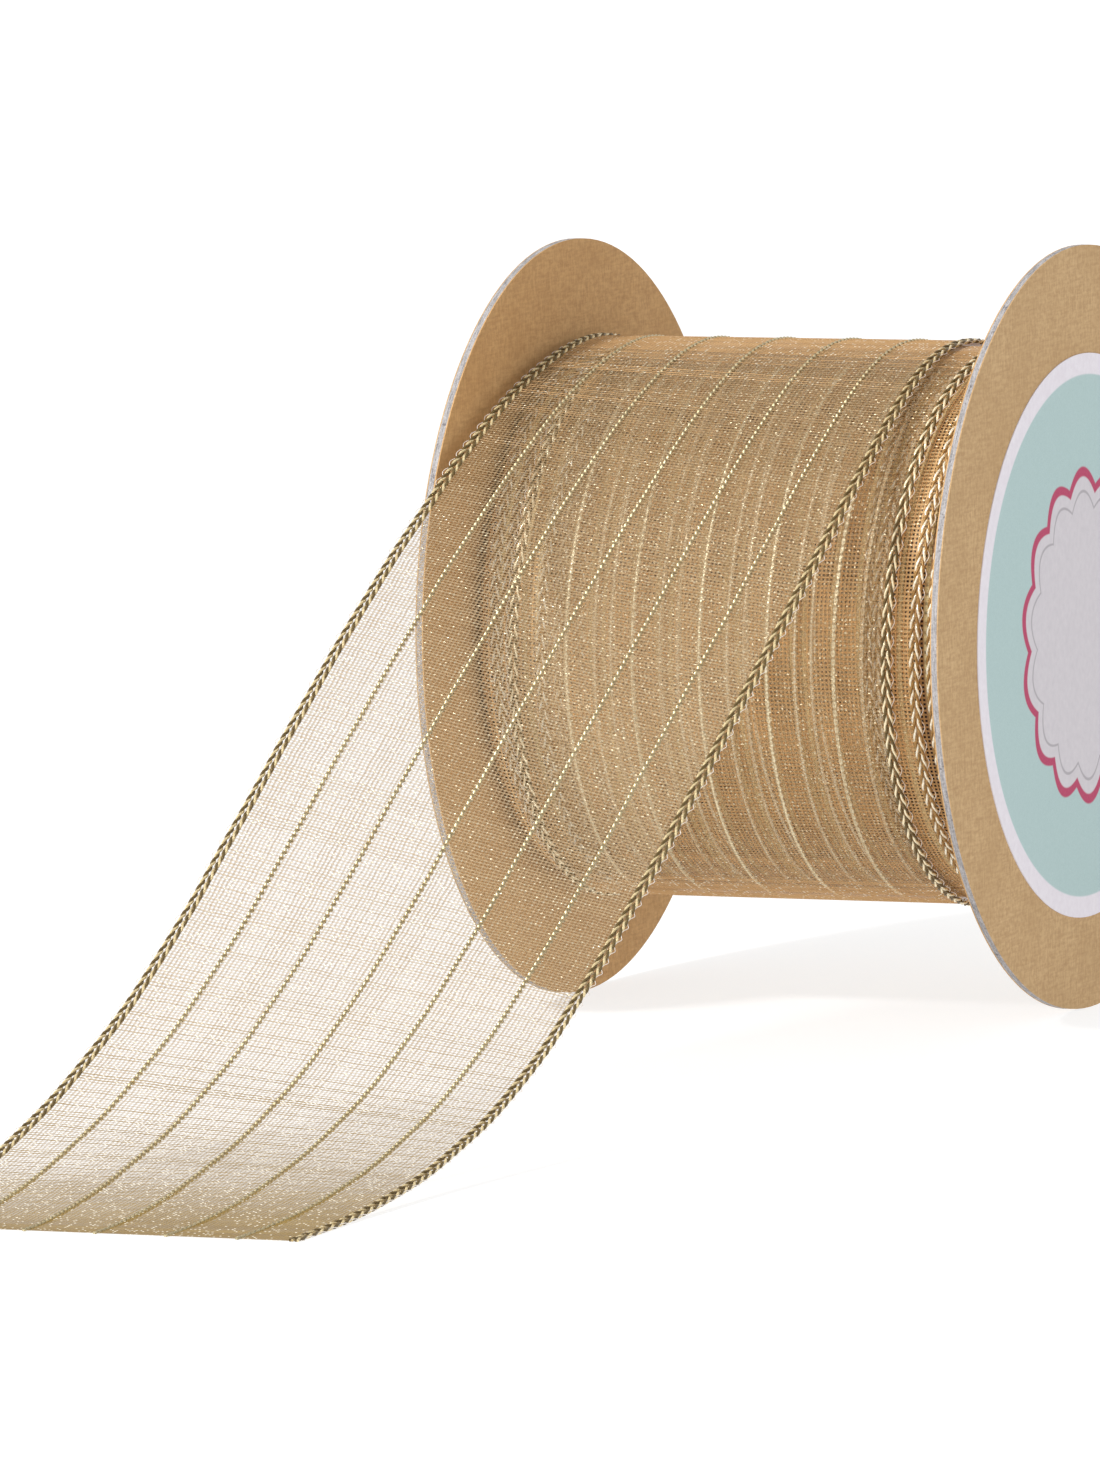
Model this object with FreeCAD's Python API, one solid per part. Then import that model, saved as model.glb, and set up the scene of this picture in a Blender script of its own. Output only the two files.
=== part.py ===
import FreeCAD, Part
import math
import os

# Ribbon spool: a cardboard spool holding a roll of sheer ribbon with gold stripes. All sizes are in mm.
# The spool's axis is X and the label is on its +X end. The spool stands on its two flange rims, +Z is up,
# and the ribbon's free tail leaves the top of the roll towards -Y and runs down to the floor.
# The origin is on the axis, halfway between the flanges.

# Driving dimensions: flanges and core
FLANGE_RADIUS = 46.0
FLANGE_GAP = 65.6
BOARD_THICKNESS = 0.7
FACING_THICKNESS = 0.15
BORE_RADIUS = 22.5
PLY_THICKNESS = 0.5
PLY_NAMES = ["core_ply_inner", "core_ply_middle", "core_ply_outer"]
GLUE_LEG = 1.6

# Driving dimensions: label and starting tape
LABEL_RADIUS = 34.0
LABEL_THICKNESS = 0.12
LABEL_CENTRE_Z = -1.0
TAPE_THICKNESS = 0.12
TAPE_WIDTH = 19.0
TAPE_HALF_ANGLE = 30.0

# Driving dimensions: ribbon
RIBBON_WIDTH = 50.0
RIBBON_LEFT_X = -30.5
WEB_THICKNESS = 0.3
SELVEDGE_WIDTH = 1.5
SELVEDGE_THICKNESS = 0.42
STRIPE_WIDTH = 0.4
STRIPE_PROUD = 0.12
STRIPE_SPACING = 8.7
STRIPE_COUNT = 5

# Turns that are still tight on the core: node, inner radius, outer radius, left x and right x
TIGHT_TURNS = [
    ("wound_turns_inner", 24.25, 28.0, -31.0, 31.0),
    ("wound_turns_middle", 28.0, 31.2, -32.4, 32.4),
    ("wound_turns_outer", 31.2, 32.7, -31.6, 31.4),
    ("ribbon_under_turn", 32.75, 33.2, -23.5, 27.0),
]

# The outermost turn is loose. It is a spiral of two half circles, and ends on top, above where it began.
TURN_RADIUS = 33.6
TURN_RISE = 0.5
TAIL_START_Z = TURN_RADIUS + TURN_RISE

# Side view (y, z) of the tail's lower face along its left and right edges: control points of a cubic
# B-spline that leaves the top of the roll level and comes to the floor level. The left edge hangs higher.
FLOOR_Z = -FLANGE_RADIUS
TAIL_END_Y = -197.5
TAIL_LEFT_POLES = [
    (0.0, TAIL_START_Z),
    (-6.0, TAIL_START_Z),
    (-28.0, 31.4),
    (-91.0, -2.0),
    (-143.0, -37.0),
    (-189.0, FLOOR_Z),
    (TAIL_END_Y, FLOOR_Z),
]
TAIL_RIGHT_POLES = [
    (0.0, TAIL_START_Z),
    (-11.4, TAIL_START_Z),
    (-25.3, 26.0),
    (-93.5, -16.4),
    (-141.0, -43.0),
    (-177.0, FLOOR_Z),
    (TAIL_END_Y, FLOOR_Z),
]
TAIL_DEGREE = 3

# Worked out from the driving dimensions
CORE_RADIUS = BORE_RADIUS + PLY_THICKNESS * len(PLY_NAMES)
FLANGE_INNER_X = FLANGE_GAP / 2
FLANGE_OUTER_X = FLANGE_INNER_X + BOARD_THICKNESS + 2 * FACING_THICKNESS
RIBBON_RIGHT_X = RIBBON_LEFT_X + RIBBON_WIDTH
X_AXIS = FreeCAD.Vector(1, 0, 0)


def point(x, y, z):
    return FreeCAD.Vector(x, y, z)


def disc(x_low, x_high, radius, centre_z=0.0):
    """Solid disc about the X direction."""
    return Part.makeCylinder(radius, x_high - x_low, point(x_low, 0, centre_z), X_AXIS)


def washer(x_low, x_high, inner_radius, outer_radius):
    """Flat or long ring about the X axis."""
    return disc(x_low, x_high, outer_radius).cut(disc(x_low, x_high, inner_radius))


def core_plies():
    """Three plies of board wound into the core tube, which reaches both outer faces."""
    plies = {}
    for number, name in enumerate(PLY_NAMES):
        inner = BORE_RADIUS + number * PLY_THICKNESS
        plies[name] = washer(-FLANGE_OUTER_X, FLANGE_OUTER_X, inner, inner + PLY_THICKNESS)
    return plies


def flange_layers(end, side):
    """Grey board with kraft paper on both faces. side is +1 at the near end and -1 at the far end."""
    layers = {}
    thicknesses = [
        (end + "_inner_facing", FACING_THICKNESS),
        (end + "_flange_board", BOARD_THICKNESS),
        (end + "_outer_facing", FACING_THICKNESS),
    ]
    depth = FLANGE_INNER_X
    for name, thickness in thicknesses:
        low, high = sorted((side * depth, side * (depth + thickness)))
        layers[name] = washer(low, high, CORE_RADIUS, FLANGE_RADIUS)
        depth += thickness
    return layers


def glue_ring(side):
    """Bead of glue in the corner between the core and a flange, with a triangular section."""
    corner = side * FLANGE_INNER_X
    corners = [
        point(corner, 0, CORE_RADIUS),
        point(corner, 0, CORE_RADIUS + GLUE_LEG),
        point(corner - side * GLUE_LEG, 0, CORE_RADIUS),
    ]
    section = Part.Face(Part.makePolygon(corners + corners[:1]))
    return section.revolve(point(0, 0, 0), X_AXIS, 360)


def label():
    """Round paper label over the near end, a little low, closing that end of the core."""
    return disc(FLANGE_OUTER_X, FLANGE_OUTER_X + LABEL_THICKNESS, LABEL_RADIUS, LABEL_CENTRE_Z)


def start_tape():
    """Strip of tape that holds the ribbon's first end on the core."""
    inner = CORE_RADIUS
    outer = CORE_RADIUS + TAPE_THICKNESS
    half_angle = math.radians(TAPE_HALF_ANGLE)
    left_x = -TAPE_WIDTH / 2

    def at(radius, angle):
        return point(left_x, radius * math.sin(angle), radius * math.cos(angle))

    edges = [
        Part.Arc(at(inner, -half_angle), at(inner, 0), at(inner, half_angle)).toShape(),
        Part.LineSegment(at(inner, half_angle), at(outer, half_angle)).toShape(),
        Part.Arc(at(outer, half_angle), at(outer, 0), at(outer, -half_angle)).toShape(),
        Part.LineSegment(at(outer, -half_angle), at(inner, -half_angle)).toShape(),
    ]
    return Part.Face(Part.Wire(edges)).extrude(point(TAPE_WIDTH, 0, 0))


def outer_turn(left_x, right_x, low, high):
    """Part of the loose turn between two x values and two heights above the turn's inner face."""
    rise = TURN_RISE / 2

    def arcs(height):
        front = TURN_RADIUS + height
        back = front + rise
        front_arc = Part.Arc(
            point(left_x, 0, front),
            point(left_x, -front, 0),
            point(left_x, 0, -front),
        )
        back_arc = Part.Arc(
            point(left_x, 0, -front),
            point(left_x, back, rise),
            point(left_x, 0, front + TURN_RISE),
        )
        return [front_arc.toShape(), back_arc.toShape()]

    first_end = Part.LineSegment(
        point(left_x, 0, TURN_RADIUS + low),
        point(left_x, 0, TURN_RADIUS + high),
    )
    last_end = Part.LineSegment(
        point(left_x, 0, TAIL_START_Z + low),
        point(left_x, 0, TAIL_START_Z + high),
    )
    around = arcs(low) + [last_end.toShape()] + arcs(high)[::-1] + [first_end.toShape()]
    return Part.Face(Part.Wire(around)).extrude(point(right_x - left_x, 0, 0))


def tail_curve(x, height):
    """Side line of the tail at one x, raised by a height."""
    share = (x - RIBBON_LEFT_X) / RIBBON_WIDTH
    poles = []
    for left, right in zip(TAIL_LEFT_POLES, TAIL_RIGHT_POLES):
        y = left[0] + share * (right[0] - left[0])
        z = left[1] + share * (right[1] - left[1])
        poles.append(point(x, y, z + height))
    spans = len(poles) - TAIL_DEGREE
    knots = [knot / spans for knot in range(spans + 1)]
    repeats = [TAIL_DEGREE + 1] + [1] * (spans - 1) + [TAIL_DEGREE + 1]
    curve = Part.BSplineCurve()
    curve.buildFromPolesMultsKnots(poles, repeats, knots, False, TAIL_DEGREE)
    return curve


def tail_section(x, low, high):
    """Closed outline of the tail in the plane of one x value."""
    lower = tail_curve(x, low)
    upper = tail_curve(x, high)
    edges = [
        lower.toShape(),
        Part.LineSegment(lower.EndPoint, upper.EndPoint).toShape(),
        upper.toShape(),
        Part.LineSegment(upper.StartPoint, lower.StartPoint).toShape(),
    ]
    return Part.Wire(edges)


def tail(left_x, right_x, low, high):
    """Part of the tail between two x values and two heights above its lower face."""
    sections = [tail_section(left_x, low, high), tail_section(right_x, low, high)]
    return Part.makeLoft(sections, True, True)


def ribbon_length(left_x, right_x, low, high):
    """One lengthwise strand of the ribbon, as its piece round the roll and its piece along the tail."""
    return Part.makeCompound([outer_turn(left_x, right_x, low, high), tail(left_x, right_x, low, high)])


def free_ribbon():
    """The loose turn and the tail: web, selvedges and stripes."""
    web_left = RIBBON_LEFT_X + SELVEDGE_WIDTH
    web_right = RIBBON_RIGHT_X - SELVEDGE_WIDTH
    parts = {
        "outer_turn_web": outer_turn(web_left, web_right, 0, WEB_THICKNESS),
        "tail_web": tail(web_left, web_right, 0, WEB_THICKNESS),
        "selvedge_left": ribbon_length(RIBBON_LEFT_X, web_left, 0, SELVEDGE_THICKNESS),
        "selvedge_right": ribbon_length(web_right, RIBBON_RIGHT_X, 0, SELVEDGE_THICKNESS),
    }
    ribbon_middle_x = (RIBBON_LEFT_X + RIBBON_RIGHT_X) / 2
    first_x = ribbon_middle_x - STRIPE_SPACING * (STRIPE_COUNT - 1) / 2
    for number in range(STRIPE_COUNT):
        centre_x = first_x + number * STRIPE_SPACING
        left_x = centre_x - STRIPE_WIDTH / 2
        right_x = centre_x + STRIPE_WIDTH / 2
        name = "gold_stripe_%d" % (number + 1)
        parts[name] = ribbon_length(left_x, right_x, WEB_THICKNESS, WEB_THICKNESS + STRIPE_PROUD)
    return parts


def tight_turns():
    """Closed rings for the turns still tight on the core."""
    return {name: washer(left, right, inner, outer) for name, inner, outer, left, right in TIGHT_TURNS}


def all_parts():
    parts = {}
    parts.update(core_plies())
    parts.update(flange_layers("near", 1))
    parts.update(flange_layers("far", -1))
    parts["core_glue_near"] = glue_ring(1)
    parts["core_glue_far"] = glue_ring(-1)
    parts["label"] = label()
    parts["ribbon_start_tape"] = start_tape()
    parts.update(tight_turns())
    parts.update(free_ribbon())
    return parts


os.makedirs("parts", exist_ok=True)
for node, shape in all_parts().items():
    shape.exportStep("parts/%s.step" % node)
    print(node, len(shape.Solids), "solids,", round(shape.Volume, 1), "mm3, valid", shape.isValid())
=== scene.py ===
import math

import bpy
import numpy as np
from mathutils import Matrix, Vector

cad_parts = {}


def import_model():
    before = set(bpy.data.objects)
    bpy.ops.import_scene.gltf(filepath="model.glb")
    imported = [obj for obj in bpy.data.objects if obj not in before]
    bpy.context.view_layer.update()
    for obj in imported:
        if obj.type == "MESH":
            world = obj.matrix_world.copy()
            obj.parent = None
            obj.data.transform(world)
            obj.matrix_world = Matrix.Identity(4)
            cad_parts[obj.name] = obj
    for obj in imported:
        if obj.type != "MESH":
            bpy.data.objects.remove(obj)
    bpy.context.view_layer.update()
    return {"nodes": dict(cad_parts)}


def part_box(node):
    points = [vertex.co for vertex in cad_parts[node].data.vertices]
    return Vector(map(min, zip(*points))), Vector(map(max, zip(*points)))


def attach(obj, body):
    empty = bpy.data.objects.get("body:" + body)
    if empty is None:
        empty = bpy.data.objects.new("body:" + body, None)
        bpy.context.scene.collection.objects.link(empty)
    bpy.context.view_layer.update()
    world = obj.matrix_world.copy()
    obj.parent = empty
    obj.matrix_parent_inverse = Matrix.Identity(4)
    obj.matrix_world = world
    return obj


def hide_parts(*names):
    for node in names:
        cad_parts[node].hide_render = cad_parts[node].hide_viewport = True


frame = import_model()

# Everything below is worked out in millimetres in the row frame, and turned into metres in the meshes.
MM = 0.001


def box_mm(node):
    low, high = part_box(node)
    return np.array(low) / MM, np.array(high) / MM


# ---------------------------------------------------------------- sizes

WEB_THICKNESS = 0.3
WEB_MIDDLE = WEB_THICKNESS / 2
TURN_RISE = 0.5
RIBBON_LEFT = float(box_mm("selvedge_left")[0][0])
RIBBON_WIDTH = float(box_mm("selvedge_right")[1][0]) - RIBBON_LEFT
TURN_RADIUS = -float(box_mm("outer_turn_web")[0][2]) - WEB_THICKNESS
FLOOR_Z = float(box_mm("far_flange_board")[0][2])
LABEL_RADIUS = float(box_mm("label")[1][1])
LABEL_CENTRE_Z = float(box_mm("label")[1][2]) - LABEL_RADIUS
LABEL_FACE_X = float(box_mm("label")[1][0])

# The web's threads: their pitch, and the share of it that a warp or a weft thread is wide.
WEAVE_PITCH = 0.52
WARP_SHARE = 0.54
WEFT_SHARE = 0.58

# The gold yarns. Each pair is for the free tail and for the roll, where a yarn is pressed out wider and
# lies higher: how high its path lies over the web, how far it waves, its half height and half width.
# YARN_WAVE is the length of one wave, and the swells say how much the section grows and shrinks along it.
STRIPE_SPACING = 8.7
STRIPE_PLACES = [RIBBON_WIDTH / 2 + STRIPE_SPACING * (k - 2) for k in range(5)]
YARN_WAVE = 1.05
YARN_LIFT = (0.05, 0.16)
YARN_SWING = (0.19, 0.07)
YARN_HALF_HEIGHT = (0.13, 0.09)
YARN_HALF_WIDTH = (0.24, 0.28)
YARN_HEIGHT_SWELL = 0.04
YARN_WIDTH_SWELL = 0.09

# The selvedges: two cords side by side, each of a dark and a bright ply, and fine loops outside them.
SELVEDGE_MARGIN = 0.75
CORD_SPREAD = 0.34
PLY_OFFSET = 0.135
PLY_RADIUS = (0.18, 0.165)
PLY_TWIST = 2.3
LOOP_REACH = CORD_SPREAD + 0.42
LOOP_SWING = 0.22
LOOP_LIFT = 0.10
LOOP_RADIUS = 0.045
EDGE_MIDDLES = {"left": (SELVEDGE_MARGIN, -1), "right": (RIBBON_WIDTH - SELVEDGE_MARGIN, 1)}

# Mesh steps along the cords and yarns, on the loose ribbon and on the turns under it.
FREE_CORD_STEP = 0.225
FREE_YARN_STEP = 0.115
DEEP_CORD_STEP = 0.3
DEEP_YARN_STEP = 0.19

# Side view (y, z) of the tail's lower face at its left and right edges, as control points of a cubic
# B-spline, from the top of the roll to the floor.
TAIL_START_Z = TURN_RADIUS + TURN_RISE
TAIL_END_Y = float(box_mm("tail_web")[0][1])
TAIL_LEFT = np.array([
    (0.0, TAIL_START_Z), (-6.0, TAIL_START_Z), (-28.0, 31.4), (-91.0, -2.0),
    (-143.0, -37.0), (-189.0, FLOOR_Z), (TAIL_END_Y, FLOOR_Z),
])
TAIL_RIGHT = np.array([
    (0.0, TAIL_START_Z), (-11.4, TAIL_START_Z), (-25.3, 26.0), (-93.5, -16.4),
    (-141.0, -43.0), (-177.0, FLOOR_Z), (TAIL_END_Y, FLOOR_Z),
])

# How far the loose turn starts to the right of where it ends, and how quickly it comes back.
TURN_DRIFT = 5.4
TURN_DRIFT_POWER = 1.8

# Turns on the core: the one just under the loose turn, and deeper ones whose cords and yarns show through.
# Each has a place for its left edge and a sideways drift.
UNDER_TURN_RADIUS = 32.9
UNDER_TURN_PLACE = (-22.9, -2.2)
DEEP_TURN_RADIUS = 32.3
DEEP_TURN_STEP = 0.12
DEEP_TURN_PLACES = [(-21.2, -1.7), (-31.0, 1.4), (-28.6, -1.1), (-19.5, 0.6)]

# The camera and the lights, in metres, degrees and watts.
CAMERA_AZIMUTH = 24.14
CAMERA_ELEVATION = 6.82
CAMERA_TILT = -1.57
CAMERA_DISTANCE = 2.019
CAMERA_TARGET = (-0.0371, 0.0, -0.0146)
CAMERA_LENS_MM = 405.5
HORIZON_LIGHT = 1.0
OVERHEAD_LIGHT = 0.35
FLOOR_GLOW = 0.76

# Lamps: direction from the spool, distance, size and power.
LAMPS = {
    "key_light": ((-0.41, -0.65, 0.63), 1.3, 0.9, 4.4),
    "sparkle_light": ((-0.41, -0.68, 0.61), 1.3, 0.14, 12.0),
    "side_light": ((1.0, -0.25, 0.35), 1.4, 0.8, 1.0),
}


# ---------------------------------------------------------------- the ribbon's course


def cubic_basis(t, count):
    """Clamped uniform cubic B-spline weights of count poles at each t from 0 to 1."""
    degree = 3
    inside = np.linspace(0, 1, count - degree + 1)
    knots = np.concatenate([np.zeros(degree), inside, np.ones(degree)])
    t = np.clip(t, 0, 1 - 1e-9)[:, None]
    weights = ((knots[:-1] <= t) & (t < knots[1:])).astype(float)
    for d in range(1, degree + 1):
        left_gap = knots[d:-1] - knots[:-d - 1]
        right_gap = knots[d + 1:] - knots[1:-d]
        left = (t - knots[:-d - 1]) / np.where(left_gap == 0, 1, left_gap)
        right = (knots[d + 1:] - t) / np.where(right_gap == 0, 1, right_gap)
        weights = weights[:, :-1] * left * (left_gap > 0) + weights[:, 1:] * right * (right_gap > 0)
    return weights


FINE = np.linspace(0, 1, 1500)
FINE_BASIS = cubic_basis(FINE, len(TAIL_LEFT))
MIDDLE_LINE = FINE_BASIS @ ((TAIL_LEFT + TAIL_RIGHT) / 2)
TAIL_RUN = np.concatenate([[0], np.cumsum(np.hypot(*np.diff(MIDDLE_LINE, axis=0).T))])
TAIL_LENGTH = float(TAIL_RUN[-1])

FRONT_RADIUS = TURN_RADIUS + WEB_MIDDLE
BACK_RADIUS = FRONT_RADIUS + TURN_RISE / 2
FRONT_RUN = math.pi * FRONT_RADIUS
TURN_RUN = FRONT_RUN + math.pi * BACK_RADIUS
RIBBON_RUN = TURN_RUN + TAIL_LENGTH


def free_course(across, along):
    """Middle of the loose ribbon: across in mm from its left edge, along in mm from where it slips under
    its own tail, round the front, bottom and back of the roll, over the top and down the tail."""
    across, along = np.broadcast_arrays(np.asarray(across, float), np.asarray(along, float))
    front = np.clip(along, 0, FRONT_RUN) / FRONT_RADIUS
    back = np.clip(along - FRONT_RUN, 0, TURN_RUN - FRONT_RUN) / BACK_RADIUS
    on_back = along > FRONT_RUN
    y = np.where(on_back, BACK_RADIUS * np.sin(back), -FRONT_RADIUS * np.sin(front))
    z = np.where(on_back, TURN_RISE / 2 - BACK_RADIUS * np.cos(back), FRONT_RADIUS * np.cos(front))
    t = np.interp(along - TURN_RUN, TAIL_RUN, FINE)
    share = (across / RIBBON_WIDTH)[..., None]
    basis = cubic_basis(t.ravel(), len(TAIL_LEFT))
    left = (basis @ TAIL_LEFT).reshape(t.shape + (2,))
    right = (basis @ TAIL_RIGHT).reshape(t.shape + (2,))
    tail = left + share * (right - left)
    on_tail = along > TURN_RUN
    y = np.where(on_tail, tail[..., 0], y)
    z = np.where(on_tail, tail[..., 1] + WEB_MIDDLE, z)
    drift = TURN_DRIFT * np.clip(1 - along / TURN_RUN, 0, 1) ** TURN_DRIFT_POWER
    x = RIBBON_LEFT + drift + across
    # The tail isn't quite smooth: it ripples by up to 0.1 mm.
    slack = 0.05 * np.sin(along / 7.3 + across / 9.0) + 0.05 * np.sin(along / 3.1 - across / 13.0)
    flutter = slack * np.clip((along - TURN_RUN) / 60, 0, 1) * np.clip((RIBBON_RUN - along) / 30, 0, 1)
    return np.stack([x, y, z + flutter], axis=-1)


def tight_course(radius, left, drift):
    """A closed turn on the core that wanders sideways by drift half way round, and back."""

    def course(across, along):
        across, along = np.broadcast_arrays(np.asarray(across, float), np.asarray(along, float))
        angle = along / radius
        wander = drift * (1 - np.cos(angle)) / 2
        return np.stack([left + wander + across, -radius * np.sin(angle), radius * np.cos(angle)], axis=-1)

    return course


def frame_at(course, across, along):
    """Point, direction across and outward normal of a ribbon course."""
    step = 0.05
    ahead = course(across, along + step) - course(across, along - step)
    aside = course(across + step, along) - course(across - step, along)
    ahead /= np.linalg.norm(ahead, axis=-1, keepdims=True)
    aside /= np.linalg.norm(aside, axis=-1, keepdims=True)
    normal = np.cross(ahead, aside)
    normal /= np.linalg.norm(normal, axis=-1, keepdims=True)
    return course(across, along), aside, -normal


# ---------------------------------------------------------------- mesh helpers


def new_piece(name, vertices, faces, materials, uv=None, face_material=None):
    """A smooth mesh object from vertices in mm. uv is one pair per vertex, in mm."""
    mesh = bpy.data.meshes.new(name)
    mesh.from_pydata((np.asarray(vertices) * MM).tolist(), [], [list(map(int, f)) for f in faces])
    for material in materials:
        mesh.materials.append(material)
    if face_material is not None:
        mesh.polygons.foreach_set("material_index", np.asarray(face_material, np.int32))
    mesh.polygons.foreach_set("use_smooth", np.full(len(mesh.polygons), True))
    if uv is not None:
        layer = mesh.uv_layers.new(name="ribbon_mm")
        loops = np.zeros(len(mesh.loops), np.int32)
        mesh.loops.foreach_get("vertex_index", loops)
        layer.data.foreach_set("uv", np.asarray(uv, float)[loops].ravel())
    mesh.update()
    piece = bpy.data.objects.new(name, mesh)
    bpy.context.scene.collection.objects.link(piece)
    return piece


def grid_faces(rows, columns, wrap_columns=False):
    """Quads of a rows by columns grid of vertices."""
    last = columns if wrap_columns else columns - 1
    r, c = np.meshgrid(np.arange(rows - 1), np.arange(last), indexing="ij")
    r, c = r.ravel(), c.ravel()
    following = (c + 1) % columns
    return np.stack([r * columns + c, r * columns + following,
                     (r + 1) * columns + following, (r + 1) * columns + c], axis=1)


def sheet_piece(name, course, along, material):
    """The woven web of a ribbon course, between its two selvedges."""
    across = np.linspace(SELVEDGE_MARGIN, RIBBON_WIDTH - SELVEDGE_MARGIN, 33)
    across_grid, along_grid = np.meshgrid(across, along)
    points = course(across_grid, along_grid)
    uv = np.stack([across_grid, along_grid], axis=-1)
    faces = grid_faces(len(along), len(across))
    return new_piece(name, points.reshape(-1, 3), faces, [material], uv.reshape(-1, 2))


def tube(centres, thick, wide, outward, sides, uv_along):
    """Vertices, faces and uv of a tube along centres. outward is roughly its upper direction, thick its
    half height along that and wide its half width. Both ends are closed."""
    ahead = np.gradient(centres, axis=0)
    ahead /= np.linalg.norm(ahead, axis=1, keepdims=True)
    up = outward - (outward * ahead).sum(1, keepdims=True) * ahead
    up /= np.linalg.norm(up, axis=1, keepdims=True)
    side = np.cross(ahead, up)
    angles = np.arange(sides) * 2 * math.pi / sides
    thick = np.broadcast_to(thick, len(centres))[:, None, None]
    wide = np.broadcast_to(wide, len(centres))[:, None, None]
    ring = (centres[:, None, :] + thick * np.sin(angles)[None, :, None] * up[:, None, :]
            + wide * np.cos(angles)[None, :, None] * side[:, None, :])
    faces = [tuple(f) for f in grid_faces(len(centres), sides, wrap_columns=True)]
    faces.append(tuple(range(sides)))
    last = (len(centres) - 1) * sides
    faces.append(tuple(range(last + sides - 1, last - 1, -1)))
    uv = np.stack(np.broadcast_arrays(angles[None, :] / (2 * math.pi), uv_along[:, None]), axis=-1)
    return ring.reshape(-1, 3), faces, uv.reshape(-1, 2)


def joined(name, tubes, materials):
    """One piece from several tubes, each with its own material number."""
    vertices, faces, uvs, numbers = [], [], [], []
    start = 0
    for (points, quads, uv), number in tubes:
        vertices.append(points)
        uvs.append(uv)
        faces += [tuple(v + start for v in f) for f in quads]
        numbers += [number] * len(quads)
        start += len(points)
    return new_piece(name, np.concatenate(vertices), faces, materials,
                     np.concatenate(uvs), face_material=numbers)


# ---------------------------------------------------------------- material helpers


class Shader:
    """A material and short ways to add nodes to it."""

    def __init__(self, name):
        self.material = bpy.data.materials.new(name)
        self.material.use_nodes = True
        self.tree = self.material.node_tree
        self.tree.nodes.clear()
        self.output = self.add("ShaderNodeOutputMaterial")

    def add(self, kind, **settings):
        node = self.tree.nodes.new(kind)
        for key, value in settings.items():
            setattr(node, key, value)
        return node

    def put(self, socket, value):
        """Links a socket to a socket, or sets a plain value."""
        if isinstance(value, bpy.types.NodeSocket):
            self.tree.links.new(value, socket)
        else:
            socket.default_value = value

    def math(self, operation, a, b=0.0, clamp=False):
        node = self.add("ShaderNodeMath", operation=operation, use_clamp=clamp)
        self.put(node.inputs[0], a)
        self.put(node.inputs[1], b)
        return node.outputs[0]

    def ramp(self, value, low, high, to_low=0.0, to_high=1.0, smooth=True):
        node = self.add("ShaderNodeMapRange")
        node.interpolation_type = "SMOOTHSTEP" if smooth else "LINEAR"
        self.put(node.inputs["Value"], value)
        self.put(node.inputs["From Min"], low)
        self.put(node.inputs["From Max"], high)
        self.put(node.inputs["To Min"], to_low)
        self.put(node.inputs["To Max"], to_high)
        return node.outputs["Result"]

    def mix(self, factor, a, b):
        node = self.add("ShaderNodeMix", data_type="RGBA")
        self.put(node.inputs["Factor"], factor)
        self.put(node.inputs["A"], a)
        self.put(node.inputs["B"], b)
        return node.outputs["Result"]

    def noise(self, vector, scale, detail=3.0, roughness=0.5):
        node = self.add("ShaderNodeTexNoise")
        self.put(node.inputs["Vector"], vector)
        self.put(node.inputs["Scale"], scale)
        self.put(node.inputs["Detail"], detail)
        self.put(node.inputs["Roughness"], roughness)
        return node.outputs["Fac"]

    def random(self, x, y):
        """An even random number from 0 to 1 for each pair of whole numbers."""
        pair = self.add("ShaderNodeCombineXYZ")
        self.put(pair.inputs["X"], x)
        self.put(pair.inputs["Y"], y)
        node = self.add("ShaderNodeTexWhiteNoise", noise_dimensions="2D")
        self.put(node.inputs["Vector"], pair.outputs[0])
        return node.outputs["Value"]

    def blend(self, factor, a, b):
        node = self.add("ShaderNodeMixShader")
        self.put(node.inputs[0], factor)
        self.put(node.inputs[1], a)
        self.put(node.inputs[2], b)
        return node.outputs[0]

    def stretched(self, vector, scales):
        node = self.add("ShaderNodeVectorMath", operation="MULTIPLY")
        self.put(node.inputs[0], vector)
        self.put(node.inputs[1], scales)
        return node.outputs[0]

    def object_mm(self):
        """The piece's own coordinates, in mm."""
        return self.stretched(self.add("ShaderNodeTexCoord").outputs["Object"], (1 / MM,) * 3)

    def ribbon_mm(self):
        """Distance across and along the ribbon, in mm."""
        uv = self.add("ShaderNodeUVMap", uv_map="ribbon_mm").outputs["UV"]
        parts = self.add("ShaderNodeSeparateXYZ")
        self.put(parts.inputs[0], uv)
        return uv, parts.outputs["X"], parts.outputs["Y"]

    def bump(self, height, distance_mm, strength=1.0):
        node = self.add("ShaderNodeBump")
        self.put(node.inputs["Height"], height)
        node.inputs["Distance"].default_value = distance_mm * MM
        node.inputs["Strength"].default_value = strength
        return node.outputs["Normal"]

    def surface(self, color, roughness, metallic=0.0, normal=None, **plain):
        node = self.add("ShaderNodeBsdfPrincipled")
        self.put(node.inputs["Base Color"], color)
        self.put(node.inputs["Roughness"], roughness)
        self.put(node.inputs["Metallic"], metallic)
        if normal is not None:
            self.put(node.inputs["Normal"], normal)
        for name, value in plain.items():
            node.inputs[name.replace("_", " ")].default_value = value
        return node.outputs[0]

    def finish(self, shader):
        self.put(self.output.inputs["Surface"], shader)
        return self.material


def srgb(red, green, blue):
    """A display colour from 0 to 255, as the linear colour that shaders use."""

    def linear(value):
        value /= 255
        return value / 12.92 if value <= 0.04045 else ((value + 0.055) / 1.055) ** 2.4

    return (linear(red), linear(green), linear(blue), 1.0)


def thread(shader, place, width):
    """Height of a round thread over its pitch: place counts threads, width is its share of the pitch."""
    part = shader.math("FRACT", place)
    off = shader.math("ABSOLUTE", shader.math("SUBTRACT", part, 0.5))
    inside = shader.math("DIVIDE", off, width / 2)
    return shader.math("SUBTRACT", 1.0, shader.math("MULTIPLY", inside, inside), clamp=True)


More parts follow.
